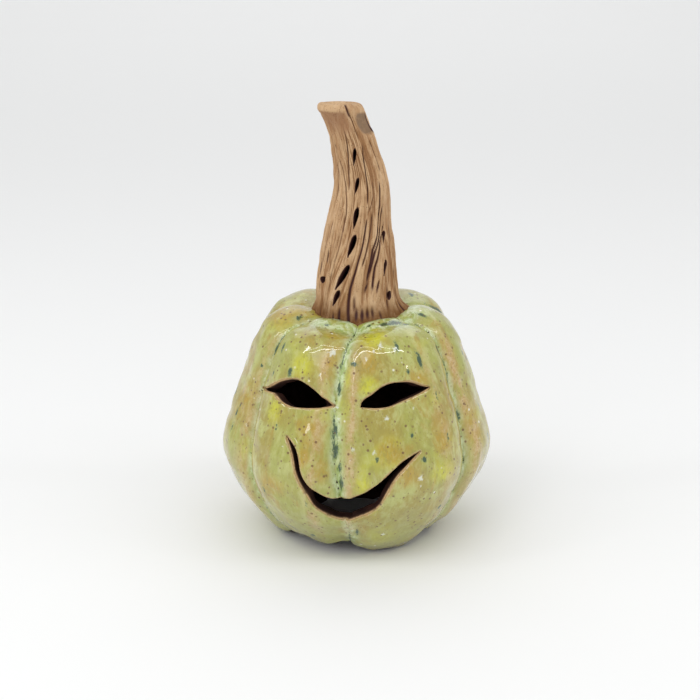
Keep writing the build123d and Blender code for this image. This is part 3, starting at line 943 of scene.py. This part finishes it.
def make_stem():
    """Hollow stem whose grain, lip, facet and torn slits are relief on one closed sheet."""
    outlines = [slit_outline(*slit) for slit in SLITS]
    points, triangles, gap = sheet(
        STEM_GIRTH, STEM_GIRTH, STEM_COLUMNS, STEM_ROWS, outlines, (0.12, 0.3), staggered=False
    )
    lane, step = points[:, 0] / STEM_GIRTH * 360, points[:, 1] / STEM_GIRTH
    weld = np.arange(len(points))
    tip = step > 1 - 1e-6
    weld[tip] = np.where(tip)[0][0]
    a, b, c = weld[triangles].T
    used, triangles = compact(weld[triangles][(a != b) & (b != c) & (a != c)])
    lane, step, gap = lane[used], step[used], gap[used]
    smooth_outside, azimuth = stem_point(lane, step)
    height = smooth_outside[:, 2]
    normal = stem_normal(lane, step)
    normal[step > 0.985] = (0, 0, 1)
    depth, dark = grain_relief(lane, height)
    bare = smooth(-height, -206.4, -204)
    lip = smooth(height, 203.3, 204.4) * between(azimuth, -130, -100, 16, 26)
    curl = bell(azimuth - 31, 9) * smooth(height, 201.5, 203.5)
    notch = bell(azimuth - 17, 3.5) * smooth(height, 201, 203)
    cut = flat_facet(smooth_outside)
    facet = smooth(cut, 0.05, 0.45)
    left = between(azimuth, -90, -55, -2, 24)
    shade = between(height, 191, 200, 203.6, 204.9) * left
    quiet = np.maximum(np.clip(lip + facet, 0, 1), 0.7 * shade)
    depth = depth * (1 - quiet) * bare
    dark = dark * (1 - quiet) * (0.3 + 0.7 * bare)
    turn = np.radians(lane)
    lanes = np.stack([np.cos(turn) * 15, np.sin(turn) * 15, height / 11], 1)
    ropes = 0.34 * waves(lanes, 5.5, 31) + 0.17 * waves(lanes, 2.4, 32)
    fine = 0.16 * waves(lanes * (1, 1, 1.5), 1.2, 33, 40)
    soft = (ropes + fine) * (1 - 0.85 * quiet) * bare
    rise = soft - depth + 0.35 * lip + 0.9 * curl - 0.8 * notch - cut
    rise -= 0.55 * between(height, 195, 200, 203.2, 204.2) * smooth(-azimuth, -20, 0)
    rise -= rounded(gap, 0.35)
    outer = smooth_outside + normal * rise[:, None]
    inner = smooth_outside - normal * STEM_WALL
    beside = 0.8 * bell(azimuth - 82, 4) * between(height, 193, 195, 202, 204)
    marks = {
        # painted shade: grain is full inside the stem, on its slits' walls and along their edges
        "grain": (np.maximum.reduce([dark, 0.9 * smooth(-gap, -0.35, 0), 0.7 * notch, beside]), 1.0),
        "relief": (np.clip(0.5 + 0.62 * soft - 0.7 * depth + 0.1 * lip, 0, 1), 0.0),
        "smear": (facet, 0.0),
        "shade": (shade, 0.0),
        "low": (smooth(-height, -120, -109.5), 0.0),
    }
    piece = shell("stem", triangles, outer, inner, 4, stem_clay_material(), marks)
    place(piece, "stem")


def make_coil(material):
    """Uneven ring of clay pressed round the foot of the stem."""
    around, section = 220, 20
    turn = np.repeat(np.linspace(0, 2 * pi, around, endpoint=False), section)
    part = np.tile(np.linspace(0, 2 * pi, section, endpoint=False), around)
    ring = np.stack([np.cos(turn), np.sin(turn), 0 * turn], 1) * 22
    fat = 1 + 0.22 * waves(ring, 7, 41) + 0.1 * waves(ring, 3, 42)
    radius = 19.8 + 2.6 * fat * np.cos(part)
    height = 105.4 + 2.0 * fat * np.sin(part)
    vertices = np.stack([radius * np.cos(turn), radius * np.sin(turn), height], 1)
    index = np.arange(around * section).reshape(around, section)
    after, beside = np.roll(index, -1, 0), np.roll(index, -1, 1)
    both = np.roll(after, -1, 1)
    faces = np.stack([index, after, both, beside], -1).reshape(-1, 4)
    mesh = new_mesh("luting_coil", (vertices * MM).tolist(), faces.tolist(), material)
    for mark, value in (("grain", 0.1), ("relief", 0.5), ("smear", 0.0), ("shade", 0.0), ("low", 1.0)):
        add_mark(mesh, mark, np.full(len(vertices), value))
    place(linked("luting_coil", mesh), "luting_coil")


# ------------ floor, light and camera

CAMERA_SPOT = (-0.0034, -0.64, 0.285)
CAMERA_PITCH = 17  # degrees below level
LIT_SPOT = (0, 0, 0.08)  # the middle of the body, at which most lights aim


def make_floor():
    """Pale floor that curves up into a backdrop far behind."""
    profile = [(-30, 0), (3, 0)]
    profile += [(3 + 2 * sin(t), 2 - 2 * cos(t)) for t in np.linspace(0.1, pi / 2, 16)]
    profile.append((5, 4))
    vertices = [(x, y, z) for x in (-20, 20) for y, z in profile]
    count = len(profile)
    faces = [(i, i + 1, count + i + 1, count + i) for i in range(count - 1)]
    mesh = new_mesh("floor", vertices, faces, plain_material("floor", (0.875, 0.88, 0.88), 0.8))
    floor = linked("floor", mesh)


def studio_light(name, spot, aim, length, width, radiance, mirrored=True):
    """Rectangular light that faces aim, in metres, and whether it shows in glossy surfaces."""
    light = bpy.data.lights.new(name, "AREA")
    light.shape = "RECTANGLE"
    light.size, light.size_y = length, width
    light.energy = radiance * pi * length * width
    lamp = linked(name, light)
    lamp.location = spot
    lamp.visible_glossy = mirrored
    lamp.rotation_euler = (Vector(aim) - Vector(spot)).to_track_quat("-Z", "Y").to_euler()


def make_light():
    world = bpy.data.worlds.new("studio")
    world.use_nodes = True
    back = world.node_tree.nodes["Background"]
    back.inputs["Color"].default_value = (1, 1, 1, 1)
    back.inputs["Strength"].default_value = 0.68
    bpy.context.scene.world = world
    studio_light("strip_front", (0, -0.56, 1.07), LIT_SPOT, 1.7, 0.045, 8.5)
    studio_light("strip_back", (0, -0.36, 1.16), LIT_SPOT, 1.7, 0.022, 8.5)
    studio_light("strip_left", (-0.8, -0.3, 0.95), LIT_SPOT, 0.05, 0.5, 11)
    studio_light("strip_right", (0.8, -0.3, 0.95), LIT_SPOT, 0.04, 0.4, 10)
    studio_light("key", (-0.6, -1.1, 1.25), LIT_SPOT, 0.8, 0.8, 1.5)
    studio_light("window", (-0.42, -0.85, 0.47), LIT_SPOT, 0.11, 0.13, 4.5)
    studio_light("side_left", (-1.2, -0.25, 0.4), (0, 0, 0.1), 0.6, 0.6, 1.6, mirrored=False)
    studio_light("side_right", (1.2, -0.25, 0.4), (0, 0, 0.1), 0.6, 0.6, 2.0, mirrored=False)
    studio_light("far_floor", (0, 3.1, 2.5), (0, 3.1, 0), 4, 4, 0.55)
    bpy.context.scene.view_settings.view_transform = "Standard"


def make_camera():
    data = bpy.data.cameras.new("camera")
    data.lens = 71.5
    data.sensor_width = 36
    data.clip_start = 0.01
    camera = linked("camera", data)
    camera.location = CAMERA_SPOT
    camera.rotation_euler = (radians(90 - CAMERA_PITCH), 0, 0)
    bpy.context.scene.camera = camera


make_camera()
make_light()
make_floor()
face_outlines = [respaced(outline_on_body(feature), 0.6) for feature in FACE]
make_body(face_outlines)
make_glaze(face_outlines)
make_stem()
make_coil(bpy.data.materials["stem_clay"])
